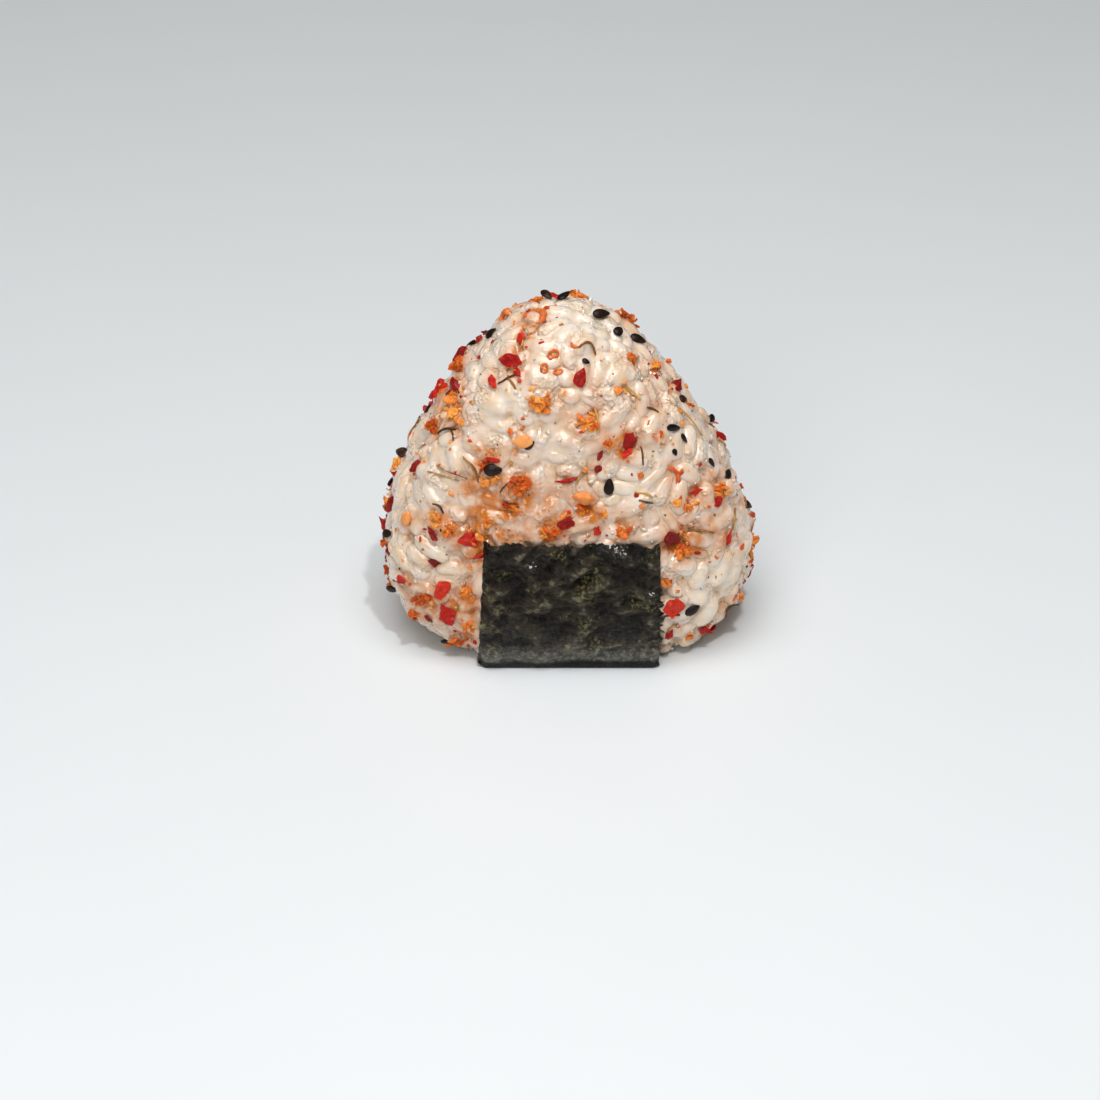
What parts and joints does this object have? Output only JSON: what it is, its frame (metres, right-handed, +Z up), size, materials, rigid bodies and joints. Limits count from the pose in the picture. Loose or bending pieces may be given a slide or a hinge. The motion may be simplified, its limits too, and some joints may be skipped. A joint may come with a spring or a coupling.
{
  "type": "onigiri rice ball",
  "caption": "Pressed triangular ball of seasoned rice with rounded corners, standing on its flat base with a nori strip folded under it.",
  "frame": {"origin": "under the middle of the whole, on the surface it stands on", "axes": "+X across the triangle, to the right of the shown face; +Z up, towards the tip; the shown face looks towards -Y"},
  "size_m": [0.0706, 0.0396, 0.068],
  "materials": {
    "rice": "moist steamed rice grains with orange seasoning between them",
    "nori": "dry toasted seaweed sheet, finely wrinkled, dark green-black",
    "black_sesame": "whole black sesame seeds",
    "red_flake": "dried red flakes",
    "orange_crumb": "dried orange shrimp crumbs and curls",
    "herb": "thin dried green-brown shreds"
  },
  "bodies": {
    "root": {"rice_body": "rice", "nori_strip": "nori"}
  },
  "joints": []
}
